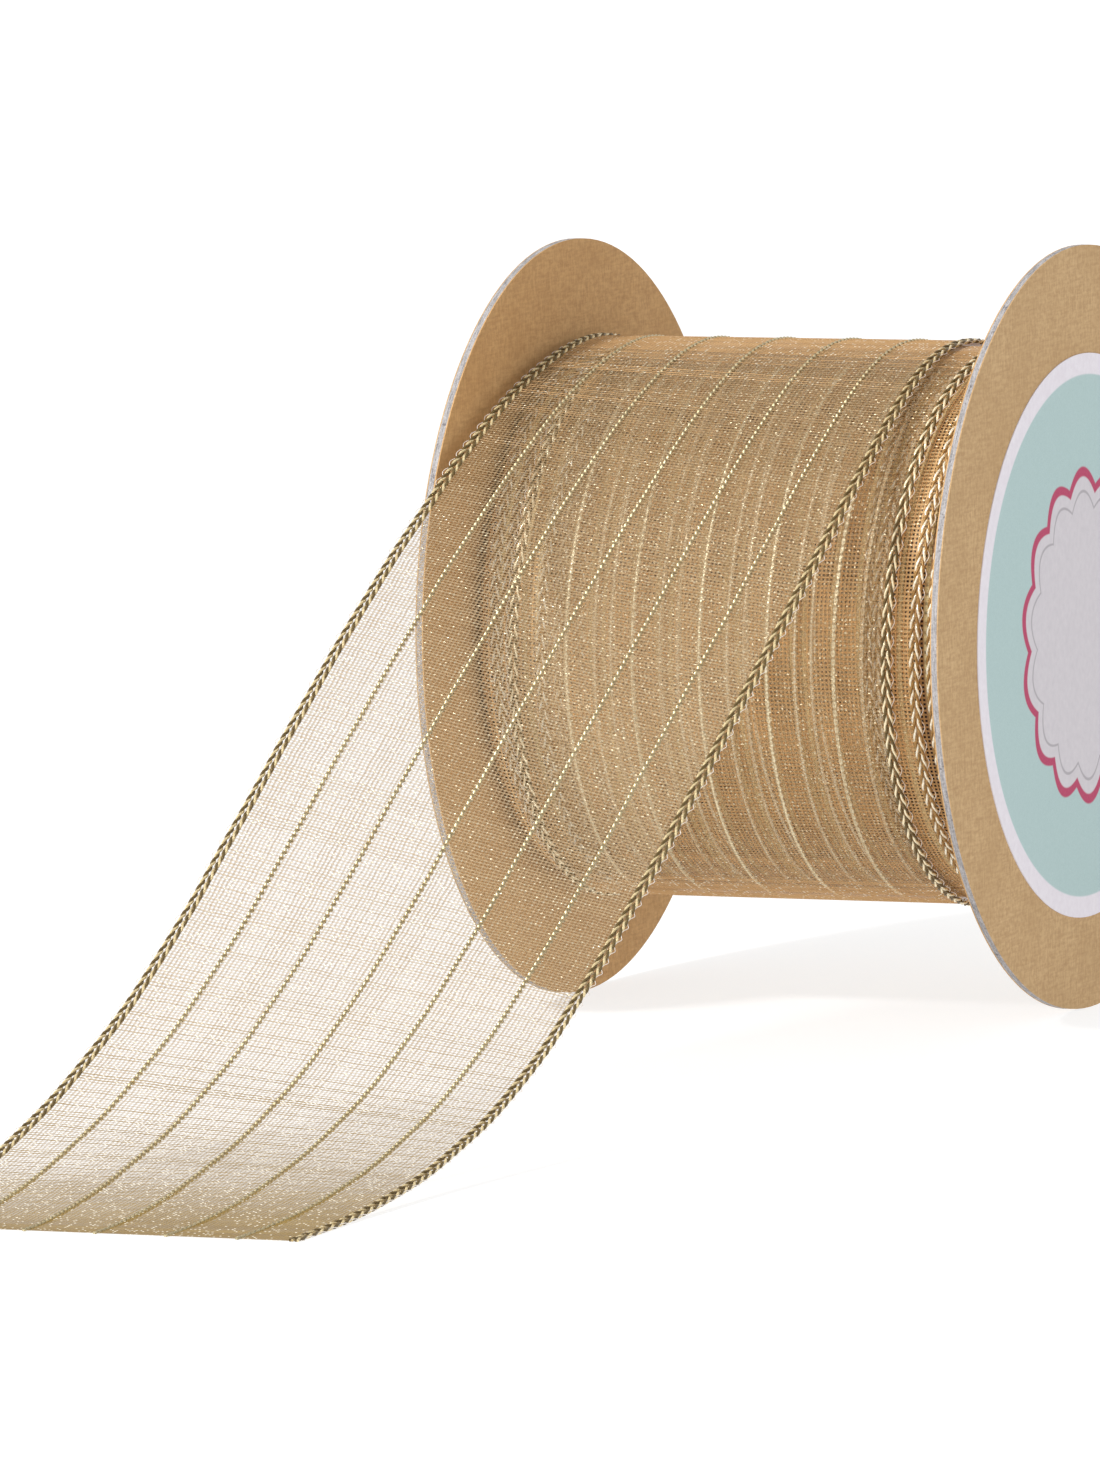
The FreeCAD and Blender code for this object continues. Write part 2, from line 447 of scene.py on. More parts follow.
# ---------------------------------------------------------------- materials


def sheer_weave(name, warp_colour, weft_colour, glow_colour, flat_opacity, free_opacity):
    """Open plain weave of half-clear threads: the gaps are open, single threads are half seen through, and
    their crossings are denser. Threads differ a little, and some crossings are painted near white, a
    painted glint, with a little metal in them too. The threads' edges are painted dark, a painted shade
    between them.
    flat_opacity holds on the roll and free_opacity on the tail. Seen at a low angle the threads close up
    into a film, brown on the roll and golden where the tail lies flat. Its colours stand partly for the
    closed-up threads and partly for a painted sheen, and its streaks and glints are painted sheen and
    painted glint.
    The film is a matt layer with colours of its own, not a gloss: Layer Weight mixes it in, so it changes
    with the view."""
    lower_thread = 0.55
    glint_threshold = 0.82
    light_let_through = 0.36
    film_opacity = 0.92
    m = Shader(name)
    uv, across, along = m.ribbon_mm()
    sway = m.math("MULTIPLY", m.math("SUBTRACT", m.noise(uv, 0.35), 0.5), 0.5)
    warp_place = m.math("DIVIDE", m.math("ADD", across, sway), WEAVE_PITCH)
    weft_place = m.math("DIVIDE", m.math("ADD", along, sway), WEAVE_PITCH)
    warp_number = m.math("FLOOR", warp_place)
    weft_number = m.math("FLOOR", weft_place)
    warp = thread(m, warp_place, WARP_SHARE)
    weft = thread(m, weft_place, WEFT_SHARE)
    over = m.math("ABSOLUTE", m.math("MODULO", m.math("ADD", warp_number, weft_number), 2.0))
    warp_height = m.math("MULTIPLY", warp, m.ramp(over, 0, 1, lower_thread, 1.0, smooth=False))
    weft_height = m.math("MULTIPLY", weft, m.ramp(over, 0, 1, 1.0, lower_thread, smooth=False))
    height = m.math("MAXIMUM", warp_height, weft_height)
    warp_luck = m.random(warp_number, 3.0)
    weft_luck = m.random(weft_number, 8.0)
    # Painted glint: random crossings are painted near white, a painted highlight; they also get more metal
    # and cover.
    painted_glint = m.math("GREATER_THAN", m.random(warp_number, weft_number), glint_threshold)
    crossing = m.ramp(m.math("MULTIPLY", warp, weft), 0.15, 0.5)
    painted_glint = m.math("MULTIPLY", painted_glint, crossing)

    warp_cover = m.math("MULTIPLY", m.ramp(warp, 0.0, 0.45), m.ramp(warp_luck, 0, 1, 0.80, 1.16))
    weft_cover = m.math("MULTIPLY", m.ramp(weft, 0.0, 0.45), m.ramp(weft_luck, 0, 1, 0.78, 1.20))
    opacity = m.ramp(along, TURN_RUN - 15.0, TURN_RUN + 5.0, flat_opacity, free_opacity)
    warp_gap = m.math("SUBTRACT", 1.0, m.math("MULTIPLY", warp_cover, opacity))
    weft_gap = m.math("SUBTRACT", 1.0, m.math("MULTIPLY", weft_cover, opacity))
    solid = m.math("SUBTRACT", 1.0, m.math("MULTIPLY", warp_gap, weft_gap))
    solid = m.math("MAXIMUM", solid, m.math("MULTIPLY", painted_glint, 0.85), clamp=True)

    weft_on_top = m.math("GREATER_THAN", weft_height, warp_height)
    patch = m.noise(m.stretched(uv, (0.08, 0.5, 1.0)), 1.0, 3.0)
    tone = m.math("MULTIPLY", m.math("ADD", patch, m.math("MULTIPLY", weft_luck, 0.5)), 0.6)
    colour = m.mix(m.math("MAXIMUM", weft_on_top, tone), warp_colour, weft_colour)
    # Painted shade: the edges of the threads, where they dip and meet, are painted dark brown.
    colour = m.mix(m.ramp(height, 0.05, 0.6, 0.62, 0.0), colour, srgb(92, 58, 32))
    # Painted highlight: the glinting crossings are painted near white.
    colour = m.mix(painted_glint, colour, srgb(255, 238, 200))
    normal = m.bump(height, 0.12, 0.9)
    front = m.surface(colour, 0.3, m.math("MULTIPLY", painted_glint, 0.6), normal, Specular_IOR_Level=0.4)
    glow = m.add("ShaderNodeBsdfTranslucent")
    m.put(glow.inputs["Color"], m.mix(0.8, colour, glow_colour))
    m.put(glow.inputs["Normal"], normal)
    threads = m.blend(light_let_through, front, glow.outputs[0])
    clear = m.add("ShaderNodeBsdfTransparent").outputs[0]
    cloth = m.blend(solid, clear, threads)

    # The film's colours, brown on the roll and golden on the flat tail, stand partly for the closed-up
    # threads and partly for a painted sheen; its near-white crossings are a painted glint.
    flat_tail = m.ramp(along, TURN_RUN + 50.0, TURN_RUN + 120.0)
    film_dark = m.mix(flat_tail, srgb(182, 140, 94), srgb(116, 90, 42))
    film_bright = m.mix(flat_tail, srgb(226, 186, 136), srgb(168, 140, 80))
    film_colour = m.mix(painted_glint, m.mix(tone, film_dark, film_bright), srgb(255, 244, 220))
    film_layer = m.surface(film_colour, 0.6, 0.0, normal, Specular_IOR_Level=0.0)
    facing = m.add("ShaderNodeLayerWeight").outputs["Facing"]
    # Painted sheen: the film comes in sooner along lucky weft threads, as lines of sheen.
    streak = m.math("MULTIPLY", m.math("SUBTRACT", m.math("MULTIPLY", weft, weft_luck), 0.3), 0.30)
    film_start = m.ramp(flat_tail, 0.0, 1.0, 0.58, 0.46, smooth=False)
    film = m.ramp(m.math("ADD", facing, streak), film_start, 0.84, 0.0, film_opacity)
    return m.finish(m.blend(film, cloth, film_layer))


def packed_weave(name):
    """The tight roll under the last turns: many layers of weave seen as one, with the paler stripes of
    deeper turns showing through at their own places. The stripes are brightest at their beads, where the
    yarn floats over the weave, and their paleness and beads are partly a painted highlight. The gaps
    between its threads are painted almost black, a painted shade. Where it lies bare beside the near
    flange its colour
    is painted darker, a painted shade: it turns from shade_from to shade_to, in mm along the axis, and
    stays dark from there on."""
    shade_from = 24.5
    shade_to = 27.0
    bead_pitch = 1.15
    stripe_rows = ((1.6, 0.010), (4.4, -0.014), (6.9, 0.006))
    m = Shader(name)
    uv, across, along = m.ribbon_mm()
    warp_place = m.math("DIVIDE", across, WEAVE_PITCH)
    weft_place = m.math("DIVIDE", along, WEAVE_PITCH)
    warp = thread(m, warp_place, WARP_SHARE)
    weft = thread(m, weft_place, WEFT_SHARE)
    height = m.ramp(m.math("MAXIMUM", warp, weft), 0.05, 0.5)
    patch = m.noise(m.stretched(uv, (0.12, 0.05, 1.0)), 1.0, 3.0)
    base = m.mix(patch, srgb(222, 172, 110), srgb(250, 210, 150))
    parts = m.add("ShaderNodeSeparateXYZ")
    m.put(parts.inputs[0], m.object_mm())
    # Painted shade: the pack is painted darker beside the near flange.
    shade = m.ramp(parts.outputs["X"], shade_from, shade_to)
    base = m.mix(shade, base, m.mix(patch, srgb(110, 68, 34), srgb(152, 104, 58)))
    # Painted shade: the gaps between the threads are painted almost black.
    woven_with_painted_shade = m.mix(height, srgb(34, 16, 6), base)
    stripes = 0.0
    for offset, slope in stripe_rows:
        place = m.math("ADD", across, m.math("MULTIPLY", along, slope))
        part = m.math("FRACT", m.math("DIVIDE", m.math("ADD", place, offset), STRIPE_SPACING))
        off = m.math("MULTIPLY", m.math("ABSOLUTE", m.math("SUBTRACT", part, 0.5)), STRIPE_SPACING)
        line = m.ramp(off, 0.16, 0.40, 1.0, 0.0)
        stripes = m.math("MAXIMUM", stripes, line)
    # The deeper yarns' stripes, brighter at their beads: partly the yarn floating over the weave, partly a
    # painted highlight.
    bead = thread(m, m.math("DIVIDE", along, bead_pitch), 0.9)
    painted_glint = m.math("MULTIPLY", stripes, m.ramp(bead, 0.0, 1.0, 0.45, 1.0))
    colour = m.mix(painted_glint, woven_with_painted_shade, srgb(236, 214, 160))
    normal = m.bump(m.math("ADD", height, m.math("MULTIPLY", painted_glint, 1.5)), 0.09)
    return m.finish(m.surface(colour, 0.5, 0.0, normal, Specular_IOR_Level=0.35))


def metal_yarn(name, dark, bright, twist_mm, roughness, metallic, painted_light_until=None):
    """Metallised yarn: bright foil with darker gaps that wind round it. Where the ribbon is pulled flat on
    the roll, up to the given mm along, its colour is painted paler than on the tail: painted light."""
    m = Shader(name)
    _, around, along = m.ribbon_mm()
    turns = m.math("ADD", around, m.math("DIVIDE", along, twist_mm))
    lay = thread(m, m.math("MULTIPLY", turns, 2.0), 1.0)
    speck = m.noise(m.object_mm(), 2.6, 2.0)
    shade = m.math("MULTIPLY", m.ramp(lay, 0.0, 0.4), m.ramp(speck, 0.25, 0.6, 0.75, 1.0))
    colour = m.mix(shade, dark, bright)
    if painted_light_until is not None:
        flat = m.ramp(along, painted_light_until - 20.0, painted_light_until + 10.0, 1.0, 0.0)
        # Painted light: on the roll the yarn's colour is painted paler.
        colour = m.mix(m.math("MULTIPLY", flat, 0.9), colour, srgb(255, 242, 206))
    normal = m.bump(lay, 0.02)
    return m.finish(m.surface(colour, roughness, metallic, normal))


def clear_filament(name):
    """The fine pale monofilament that loops along the edges."""
    m = Shader(name)
    tone = m.noise(m.object_mm(), 1.3)
    colour = m.mix(tone, srgb(226, 214, 200), srgb(246, 240, 234))
    return m.finish(m.surface(colour, 0.3, 0.0, Specular_IOR_Level=0.6))


def kraft_paper(name, light, dark):
    """Brown paper: pressed fibres in every direction, soft blotches and a few darker specks."""
    m = Shader(name)
    place = m.object_mm()
    fine = m.noise(place, 1.6, 6.0, 0.65)
    cloudy = m.noise(place, 0.11, 3.0)
    laid = m.noise(m.stretched(place, (1.0, 2.6, 0.35)), 1.4, 4.0, 0.6)
    crossed = m.noise(m.stretched(place, (1.0, 0.3, 2.8)), 1.1, 4.0, 0.6)
    fibres = m.math("MULTIPLY", m.math("ADD", laid, crossed), 0.5)
    grain = m.math("ADD", m.math("MULTIPLY", fine, 0.4), m.math("MULTIPLY", fibres, 0.6))
    paper = m.mix(m.ramp(grain, 0.36, 0.64), dark, light)
    blotched = m.mix(m.ramp(cloudy, 0.3, 0.75, 0.0, 0.35), paper, dark)
    speck = m.ramp(m.noise(m.stretched(place, (1.0, 1.0, 0.6)), 2.1, 2.0), 0.70, 0.78)
    colour = m.mix(m.math("MULTIPLY", speck, 0.4), blotched, srgb(120, 86, 52))
    normal = m.bump(m.math("ADD", fibres, m.math("MULTIPLY", fine, 0.5)), 0.10, 0.6)
    rough = m.ramp(fibres, 0.3, 0.7, 0.72, 0.9)
    return m.finish(m.surface(colour, rough, 0.0, normal, Specular_IOR_Level=0.25))


def grey_board(name):
    """Cut edge of recycled board: thin pressed layers, torn fibres and specks of old print."""
    m = Shader(name)
    place = m.object_mm()
    layers = m.noise(m.stretched(place, (9.0, 0.5, 0.5)), 1.0, 4.0, 0.6)
    fuzz = m.noise(place, 3.5, 5.0, 0.7)
    grain = m.math("ADD", m.math("MULTIPLY", layers, 0.6), m.math("MULTIPLY", fuzz, 0.4))
    board = m.mix(m.ramp(grain, 0.3, 0.7), srgb(128, 124, 124), srgb(208, 204, 204))
    speck = m.ramp(m.noise(place, 1.9, 2.0), 0.64, 0.70)
    colour = m.mix(m.math("MULTIPLY", speck, 0.6), board, srgb(92, 86, 92))
    normal = m.bump(m.math("ADD", layers, fuzz), 0.22, 0.9)
    return m.finish(m.surface(colour, 0.92, 0.0, normal, Specular_IOR_Level=0.2))


def core_board(name):
    """Spiral-wound core: brown board with long fibres and a helical butt seam, once round in
    seam_pitch mm."""
    seam_pitch = 52.0
    m = Shader(name)
    place = m.object_mm()
    parts = m.add("ShaderNodeSeparateXYZ")
    m.put(parts.inputs[0], place)
    angle = m.math("DIVIDE", m.math("ARCTAN2", parts.outputs["Y"], parts.outputs["Z"]), 2 * math.pi)
    turn = m.math("FRACT", m.math("ADD", m.math("DIVIDE", parts.outputs["X"], seam_pitch), angle))
    seam = m.ramp(m.math("ABSOLUTE", m.math("SUBTRACT", turn, 0.5)), 0.003, 0.009, 1.0, 0.0)
    fibres = m.noise(m.stretched(place, (0.4, 1.8, 1.8)), 1.2, 5.0, 0.6)
    board = m.mix(m.ramp(fibres, 0.3, 0.7), srgb(132, 116, 98), srgb(176, 160, 138))
    colour = m.mix(m.math("MULTIPLY", seam, 0.75), board, srgb(78, 64, 50))
    normal = m.bump(m.math("SUBTRACT", fibres, m.math("MULTIPLY", seam, 2.0)), 0.12, 0.7)
    return m.finish(m.surface(colour, 0.88, 0.0, normal, Specular_IOR_Level=0.2))


def printed_label(name):
    """Round label: white margin, blue-green field and a scalloped crimson frame round a pale panel. Its
    back, seen down the bore, is plain paper."""
    edge = 0.15
    fine_edge = 0.1
    field_share = 0.925
    panel_reach = 17.2
    scallop_depth = 2.0
    scallops = 14
    frame_width = 1.2
    hairline_inset = 1.6
    hairline_end = 1.95
    m = Shader(name)
    place = m.object_mm()
    parts = m.add("ShaderNodeSeparateXYZ")
    m.put(parts.inputs[0], place)
    y = parts.outputs["Y"]
    z = m.math("SUBTRACT", parts.outputs["Z"], LABEL_CENTRE_Z)
    radius = m.math("SQRT", m.math("ADD", m.math("MULTIPLY", y, y), m.math("MULTIPLY", z, z)))
    angle = m.math("ARCTAN2", z, y)
    ripple = m.math("ABSOLUTE", m.math("SINE", m.math("MULTIPLY", angle, scallops / 2)))
    panel_radius = m.math("ADD", panel_reach, m.math("MULTIPLY", ripple, scallop_depth))
    frame_radius = m.math("ADD", panel_radius, frame_width)

    def inside(limit, width=edge):
        return m.ramp(m.math("SUBTRACT", radius, limit), -width, width, 1.0, 0.0)

    grain = m.noise(place, 1.2, 5.0, 0.6)
    ink_grain = m.noise(place, 5.0, 3.0, 0.6)
    white = m.mix(grain, srgb(214, 207, 215), srgb(233, 229, 235))
    field = m.mix(ink_grain, srgb(158, 183, 183), srgb(182, 204, 203))
    crimson = m.mix(ink_grain, srgb(160, 38, 80), srgb(190, 62, 104))
    pale = m.mix(grain, srgb(192, 187, 193), srgb(212, 207, 211))
    colour = m.mix(inside(LABEL_RADIUS * field_share), white, field)
    colour = m.mix(inside(frame_radius), colour, crimson)
    colour = m.mix(inside(panel_radius), colour, pale)
    within_start = inside(m.math("SUBTRACT", panel_radius, hairline_inset), fine_edge)
    within_end = inside(m.math("SUBTRACT", panel_radius, hairline_end), fine_edge)
    hairline = m.math("MULTIPLY", within_start, m.math("SUBTRACT", 1.0, within_end))
    colour = m.mix(m.math("MULTIPLY", hairline, 0.6), colour, srgb(140, 134, 140))
    normal = m.bump(m.math("ADD", grain, ink_grain), 0.05, 0.5)
    front = m.math("GREATER_THAN", parts.outputs["X"], LABEL_FACE_X - 0.05)
    colour = m.mix(front, white, colour)
    return m.finish(m.surface(colour, 0.6, 0.0, normal, Specular_IOR_Level=0.35))


def dried_glue(name):
    """Cloudy yellowish glue with a soft gloss."""
    m = Shader(name)
    cloud = m.noise(m.object_mm(), 0.8, 3.0)
    colour = m.mix(cloud, srgb(196, 178, 132), srgb(226, 212, 176))
    return m.finish(m.surface(colour, 0.35, 0.0, m.bump(cloud, 0.3, 0.6)))


def clear_tape(name):
    """Yellowed tape with faint streaks."""
    m = Shader(name)
    streak = m.noise(m.stretched(m.object_mm(), (4.0, 0.4, 0.4)), 1.0, 3.0)
    colour = m.mix(streak, srgb(208, 198, 170), srgb(232, 226, 208))
    return m.finish(m.surface(colour, 0.22, 0.0, m.bump(streak, 0.05, 0.5)))


ON_ROLL_OPACITY = 0.36
FREE_OPACITY = 0.55
PLY_LAY = 0.9
SHEER = sheer_weave("sheer_weave", srgb(164, 128, 82), srgb(206, 176, 130), srgb(170, 164, 152),
                    ON_ROLL_OPACITY, FREE_OPACITY)
# The turns under the loose one get lighter web colours than the same ribbon on the tail: painted light.
SHEER_DEEP_PAINTED_LIGHT = sheer_weave("sheer_weave_deep_painted_light", srgb(226, 178, 116), srgb(255, 222, 164), srgb(200, 148, 92),
                         ON_ROLL_OPACITY, ON_ROLL_OPACITY)
PACKED = packed_weave("packed_weave")
# On the roll, up to TURN_RUN, this yarn is painted paler: painted light.
GOLD = metal_yarn("gold_yarn", srgb(84, 72, 44), srgb(200, 186, 148), YARN_WAVE, 0.42, 0.7, TURN_RUN)
# The deep turns' yarns are painted paler than the same yarn on the tail: painted highlight.
GOLD_DEEP_PAINTED_LIGHT = metal_yarn("gold_yarn_deep", srgb(236, 214, 162), srgb(255, 246, 218), YARN_WAVE, 0.42, 0.5)
PLY_DARK = metal_yarn("selvedge_dark_ply", srgb(70, 58, 30), srgb(112, 92, 52), PLY_LAY, 0.4, 0.3)
# On the roll, up to TURN_RUN, this ply is painted paler: painted light.
PLY_BRIGHT = metal_yarn("selvedge_bright_ply", srgb(188, 162, 108), srgb(238, 218, 170),
                        PLY_LAY, 0.22, 0.3, TURN_RUN)
# The deep turns' plies are painted lighter than the same plies on the tail: painted light.
PLY_DARK_DEEP_PAINTED_LIGHT = metal_yarn("selvedge_dark_ply_deep", srgb(126, 92, 46), srgb(172, 134, 78),
                           PLY_LAY, 0.4, 0.25)
PLY_BRIGHT_DEEP_PAINTED_LIGHT = metal_yarn("selvedge_bright_ply_deep", srgb(246, 228, 182), srgb(255, 251, 234),
                             PLY_LAY, 0.2, 0.25)
FILAMENT = clear_filament("edge_filament")
KRAFT = kraft_paper("kraft_paper", srgb(203, 171, 128), srgb(174, 140, 98))
KRAFT_INNER = kraft_paper("kraft_paper_inner", srgb(212, 173, 122), srgb(182, 142, 94))
BOARD = grey_board("grey_board_edge")
CORE = core_board("core_board")
LABEL = printed_label("label_print")
GLUE = dried_glue("dried_glue")
TAPE = clear_tape("clear_tape")


def dress(node, material):
    """Gives a CAD node its finished material."""
    mesh = frame["nodes"][node].data
    mesh.materials.clear()
    mesh.materials.append(material)


for flange in ("near", "far"):
    dress(flange + "_outer_facing", KRAFT)
    dress(flange + "_inner_facing", KRAFT_INNER)
for node in ("near_flange_board", "far_flange_board"):
    dress(node, BOARD)
for node in ("core_ply_inner", "core_ply_middle", "core_ply_outer"):
    dress(node, CORE)
for node in ("core_glue_near", "core_glue_far"):
    dress(node, GLUE)
dress("label", LABEL)
dress("ribbon_start_tape", TAPE)


# ---------------------------------------------------------------- ribbon pieces


def above_floor(path, radius):
    """Lifts the part of a thread that would be in the floor, so that it lies on it."""
    lifted = path.copy()
    lifted[:, 2] = np.maximum(path[:, 2], FLOOR_Z + radius + 0.02)
    return lifted


def selvedge_tubes(course, middle, outside, start, end, step, sides):
    """Two twisted cords side by side, turning opposite ways, and the fine loops along the outer edge.
    Each cord has a dark and a bright ply. middle is the place across the ribbon."""
    along = np.arange(start, end + step / 2, step)
    centre, aside, normal = frame_at(course, np.full_like(along, middle), along)
    tubes = []
    for turn_way in (-1, 1):
        cord = centre + turn_way * CORD_SPREAD * aside
        for number in range(2):
            angle = turn_way * (2 * math.pi * along / PLY_TWIST + math.pi / 4) + math.pi * number
            lean = PLY_OFFSET * (np.cos(angle)[:, None] * aside + np.sin(angle)[:, None] * normal)
            radius = PLY_RADIUS[number]
            ply = above_floor(cord + lean, radius)
            tubes.append((tube(ply, radius, radius, normal, sides, along), number))
    swing = LOOP_SWING * np.sin(2 * math.pi * along / PLY_TWIST)
    lift = LOOP_LIFT * np.cos(2 * math.pi * along / PLY_TWIST)
    loop = centre + (outside * LOOP_REACH + swing)[:, None] * aside + lift[:, None] * normal
    tubes.append((tube(loop, LOOP_RADIUS, LOOP_RADIUS, normal, 4, along), 2))
    return tubes


def between(pair, share):
    """The value that lies share of the way from the first of a pair to the second."""
    return pair[0] + (pair[1] - pair[0]) * share


def yarn_tube(course, middle, start, end, step):
    """A gold yarn floating over and under the weave."""
    along = np.arange(start, end + step / 2, step)
    centre, _, normal = frame_at(course, np.full_like(along, middle), along)
    wave = np.sin(2 * math.pi * along / YARN_WAVE)
    flat = np.clip((TURN_RUN - along) / 20, 0, 1)
    path = centre + (between(YARN_LIFT, flat) + between(YARN_SWING, flat) * wave)[:, None] * normal
    half_height = between(YARN_HALF_HEIGHT, flat) + YARN_HEIGHT_SWELL * wave
    half_width = between(YARN_HALF_WIDTH, flat) + YARN_WIDTH_SWELL * wave
    return tube(above_floor(path, half_height), half_height, half_width, normal, 6, along)


def ride_and_stand(piece, body, slot, *nodes):
    """Puts a piece on its body, and in place of the CAD nodes it is the finish of. slot is not used."""
    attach(piece, body)
    if nodes:
        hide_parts(*nodes)


# In the order of the numbers that selvedge_tubes gives: dark ply, bright ply, loops.
FREE_CORDS = [PLY_DARK, PLY_BRIGHT, FILAMENT]
DEEP_CORDS = [PLY_DARK_DEEP_PAINTED_LIGHT, PLY_BRIGHT_DEEP_PAINTED_LIGHT, FILAMENT]

# The loose turn and the tail
free_along = np.concatenate([np.linspace(0, TURN_RUN, 181)[:-1], np.linspace(TURN_RUN, RIBBON_RUN, 200)])
ribbon_sheet = sheet_piece("ribbon_sheet", free_course, free_along, SHEER)
ride_and_stand(ribbon_sheet, "ribbon", "sheer_ribbon", "outer_turn_web", "tail_web")
for side, (middle, outside) in EDGE_MIDDLES.items():
    tubes = selvedge_tubes(free_course, middle, outside, 0.0, RIBBON_RUN, FREE_CORD_STEP, 6)
    piece = joined("selvedge_%s_cords" % side, tubes, FREE_CORDS)
    ride_and_stand(piece, "ribbon", "selvedge_thread", "selvedge_%s" % side)
for number, middle in enumerate(STRIPE_PLACES):
    yarn = yarn_tube(free_course, middle, 0.0, RIBBON_RUN, FREE_YARN_STEP)
    piece = joined("gold_yarn_%d" % (number + 1), [(yarn, 0)], [GOLD])
    ride_and_stand(piece, "ribbon", "gold_thread", "gold_stripe_%d" % (number + 1))


def turn_trims(name, course, run):
    """The cords and yarns of a turn on the core."""
    tubes = []
    for middle, outside in EDGE_MIDDLES.values():
        tubes += selvedge_tubes(course, middle, outside, 0.0, run, DEEP_CORD_STEP, 5)
    cords = joined(name + "_cords", tubes, DEEP_CORDS)
    ride_and_stand(cords, "spool", "selvedge_thread")
    yarns = [(yarn_tube(course, middle, 0.0, run, DEEP_YARN_STEP), 0) for middle in STRIPE_PLACES]
    gold = joined(name + "_yarns", yarns, [GOLD_DEEP_PAINTED_LIGHT])
    ride_and_stand(gold, "spool", "gold_thread")
    return [cords, gold]


def under_turn():
    """The turn that the loose end lies on."""
    run = 2 * math.pi * UNDER_TURN_RADIUS
    course = tight_course(UNDER_TURN_RADIUS, *UNDER_TURN_PLACE)
    web = sheet_piece("under_turn_sheet", course, np.linspace(0, run, 121), SHEER_DEEP_PAINTED_LIGHT)
    ride_and_stand(web, "spool", "sheer_ribbon", "ribbon_under_turn")
    turn_trims("under_turn", course, run)


under_turn()
for number, (left, drift) in enumerate(DEEP_TURN_PLACES):
    radius = DEEP_TURN_RADIUS - DEEP_TURN_STEP * number
    turn_trims("deep_turn_%d" % (number + 1), tight_course(radius, left, drift), 2 * math.pi * radius)


def wound_pack():
    """The rest of the roll: a body whose ends show the edges of its turns, each a little out of line."""
    core_gap = 0.05
    top_margin = 0.8
    turn_step = 0.35
    turn_edge = 0.25
    inset = 0.3
    raggedness = 0.5
    corner = 0.4
    rng = np.random.default_rng(7)
    layers = [(box_mm(node)[0][0], box_mm(node)[1][0], box_mm(node)[1][2])
              for node in ("wound_turns_inner", "wound_turns_middle", "wound_turns_outer")]
    core = float(box_mm("core_ply_outer")[1][2]) + core_gap
    top = layers[-1][2] - top_margin
    turns = []
    for radius in np.arange(core, top, turn_step):
        left, right, _ = next(layer for layer in layers if radius < layer[2])
        left += inset + raggedness * rng.random()
        right -= inset + raggedness * rng.random()
        turns.append((radius, left, right))
    last_radius, last_left, last_right = turns[-1]
    outline = []
    for radius, left, _ in turns:
        outline += [(left, radius), (left, radius + turn_edge)]
    for x in np.linspace(last_left + corner, last_right - corner, 61):
        outline.append((x, last_radius + 0.30 + 0.05 * rng.random()))
    for radius, _, right in turns[::-1]:
        outline += [(right, radius + turn_edge), (right, radius)]
    outline = np.array(outline)
    angles = np.linspace(0, 2 * math.pi, 181)
    x = np.broadcast_to(outline[:, 0], (len(angles), len(outline)))
    radius = outline[:, 1] + 0.04 * np.sin(5 * angles)[:, None] + 0.03 * np.sin(11 * angles + 1)[:, None]
    points = np.stack([x, -radius * np.sin(angles)[:, None], radius * np.cos(angles)[:, None]], axis=-1)
    run = angles[:, None] * last_radius + 0 * outline[:, 0]
    travel = np.concatenate([[0], np.cumsum(np.hypot(*np.diff(outline, axis=0).T))])
    uv = np.stack([np.broadcast_to(travel, run.shape), run], axis=-1)
    faces = grid_faces(len(angles), len(outline), wrap_columns=True)
    piece = new_piece("wound_pack", points.reshape(-1, 3), faces, [PACKED], uv.reshape(-1, 2))
    ride_and_stand(piece, "spool", "sheer_ribbon",
                   "wound_turns_inner", "wound_turns_middle", "wound_turns_outer")


wound_pack()


# ---------------------------------------------------------------- floor, light and camera


def stage():
    """A wide, flat, pale floor that glows enough to come out as white as the photo's background."""
    radii = [6.0, 60.0, 400.0, 1500.0, 5000.0, 12000.0]
    sides = 96
    m = Shader("studio_paper")
    grain = m.noise(m.object_mm(), 0.02, 3.0)
    paper = m.mix(grain, (0.28, 0.28, 0.28, 1), (0.32, 0.32, 0.32, 1))
    distance = m.add("ShaderNodeVectorMath", operation="LENGTH")
    m.put(distance.inputs[0], m.object_mm())
    glow = m.ramp(distance.outputs["Value"], 300.0, 1500.0, FLOOR_GLOW, FLOOR_GLOW + 0.12)
    lit = m.add("ShaderNodeBsdfPrincipled")
    m.put(lit.inputs["Base Color"], paper)
    m.put(lit.inputs["Emission Strength"], glow)
    lit.inputs["Emission Color"].default_value = (1.0, 1.0, 1.0, 1.0)
    lit.inputs["Roughness"].default_value = 0.9
    lit.inputs["Specular IOR Level"].default_value = 0.1
    m.finish(lit.outputs[0])
    angles = np.arange(sides) * 2 * math.pi / sides
    points = [(r * math.cos(a), r * math.sin(a), FLOOR_Z) for r in radii for a in angles]
    faces = [tuple(f) for f in grid_faces(len(radii), len(angles), wrap_columns=True)]
    faces.append(tuple(range(len(angles)))[::-1])
    floor = new_piece("studio_floor", points, faces, [m.material])


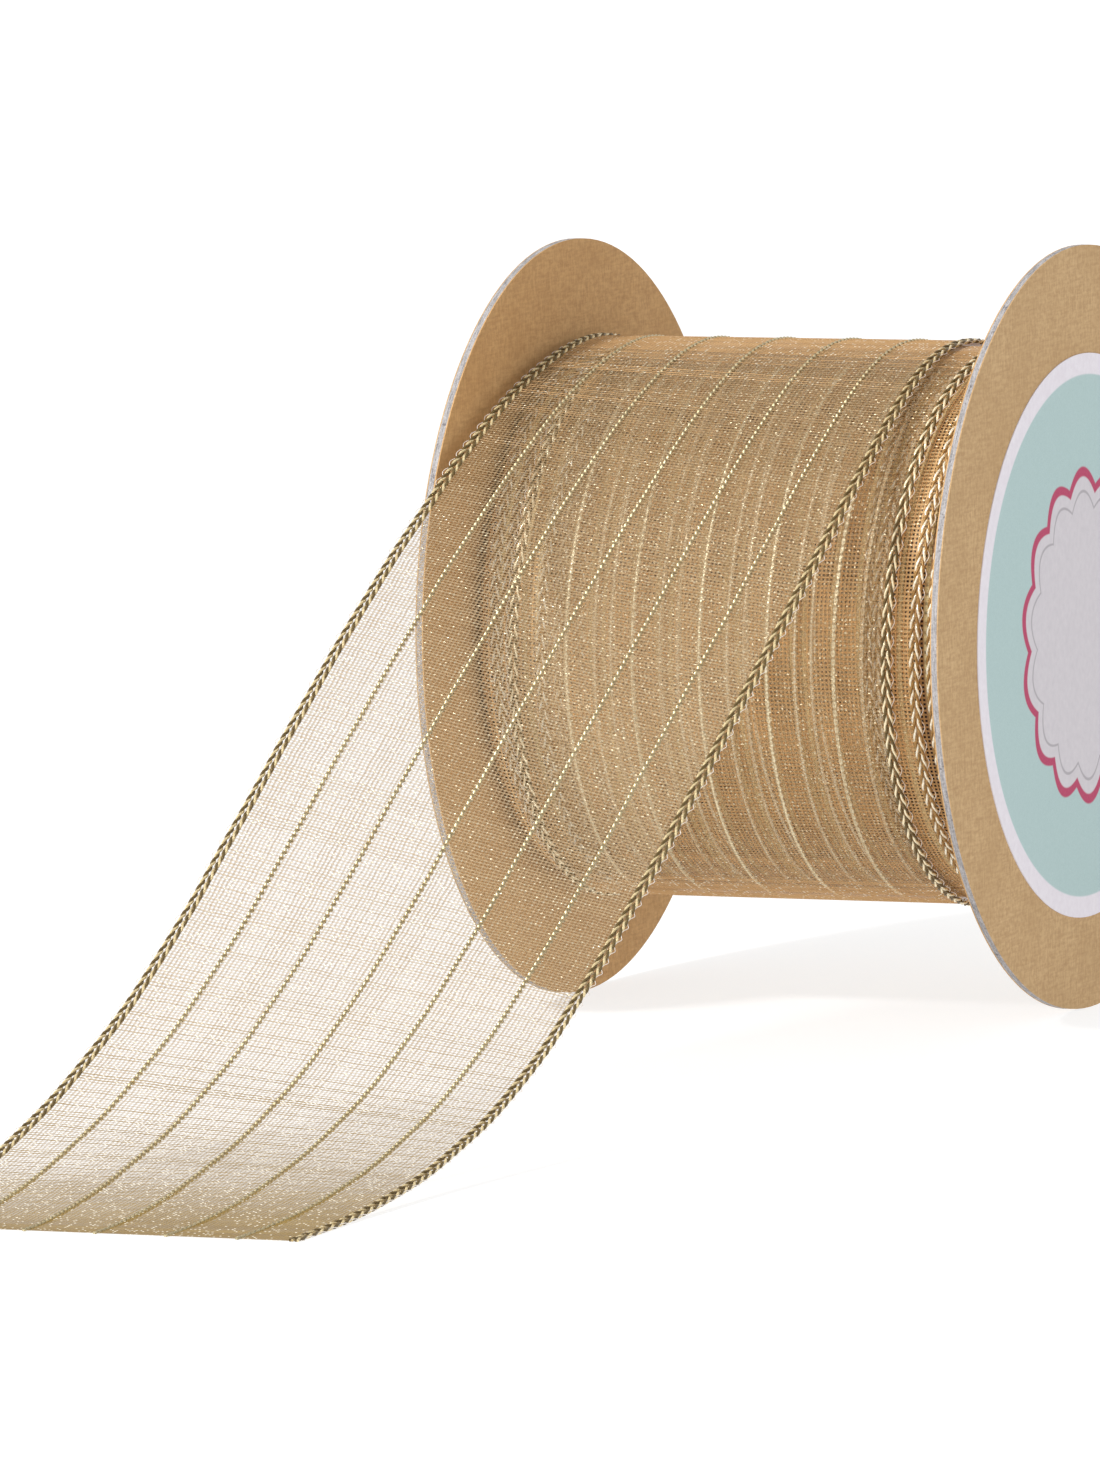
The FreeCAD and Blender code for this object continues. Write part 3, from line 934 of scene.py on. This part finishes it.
def softbox(name, towards, distance, size, power):
    """A square white lamp that faces the spool. towards is its direction as seen from the spool."""
    lamp = bpy.data.lights.new(name, "AREA")
    lamp.shape = "SQUARE"
    lamp.size = size
    lamp.energy = power
    holder = bpy.data.objects.new(name, lamp)
    direction = Vector(towards).normalized()
    holder.location = direction * distance
    holder.rotation_euler = direction.to_track_quat("Z", "Y").to_euler()
    bpy.context.scene.collection.objects.link(holder)


def camera():
    """The photograph's view: from the right and a little above, through a long lens."""
    azimuth = math.radians(CAMERA_AZIMUTH)
    elevation = math.radians(CAMERA_ELEVATION)
    tilt = math.radians(CAMERA_TILT)
    target = Vector(CAMERA_TARGET)
    outward = Vector((math.sin(azimuth) * math.cos(elevation),
                      -math.cos(azimuth) * math.cos(elevation), math.sin(elevation)))
    right = (-outward).cross(Vector((0, 0, 1))).normalized()
    up = right.cross(-outward)
    tilted_right = right * math.cos(tilt) + up * math.sin(tilt)
    tilted_up = up * math.cos(tilt) - right * math.sin(tilt)
    data = bpy.data.cameras.new("camera")
    data.sensor_width = 36.0
    data.lens = CAMERA_LENS_MM
    data.clip_end = 20.0
    holder = bpy.data.objects.new("camera", data)
    axes = Matrix((tilted_right, tilted_up, outward)).transposed()
    holder.matrix_world = Matrix.Translation(target + outward * CAMERA_DISTANCE) @ axes.to_4x4()
    bpy.context.scene.collection.objects.link(holder)
    bpy.context.scene.camera = holder


def world():
    """Even white surroundings that grow darker overhead."""
    studio = bpy.data.worlds.new("studio")
    studio.use_nodes = True
    tree = studio.node_tree
    place = tree.nodes.new("ShaderNodeTexCoord")
    parts = tree.nodes.new("ShaderNodeSeparateXYZ")
    fade = tree.nodes.new("ShaderNodeMapRange")
    tree.links.new(place.outputs["Generated"], parts.inputs[0])
    tree.links.new(parts.outputs["Z"], fade.inputs["Value"])
    fade.inputs["From Min"].default_value = 0.25
    fade.inputs["From Max"].default_value = 0.95
    fade.inputs["To Min"].default_value = HORIZON_LIGHT
    fade.inputs["To Max"].default_value = OVERHEAD_LIGHT
    background = tree.nodes["Background"]
    background.inputs["Color"].default_value = (1.0, 1.0, 1.0, 1.0)
    tree.links.new(fade.outputs["Result"], background.inputs["Strength"])
    bpy.context.scene.world = studio
    bpy.context.scene.view_settings.view_transform = "Standard"


stage()
for name, lamp in LAMPS.items():
    softbox(name, *lamp)
camera()
world()
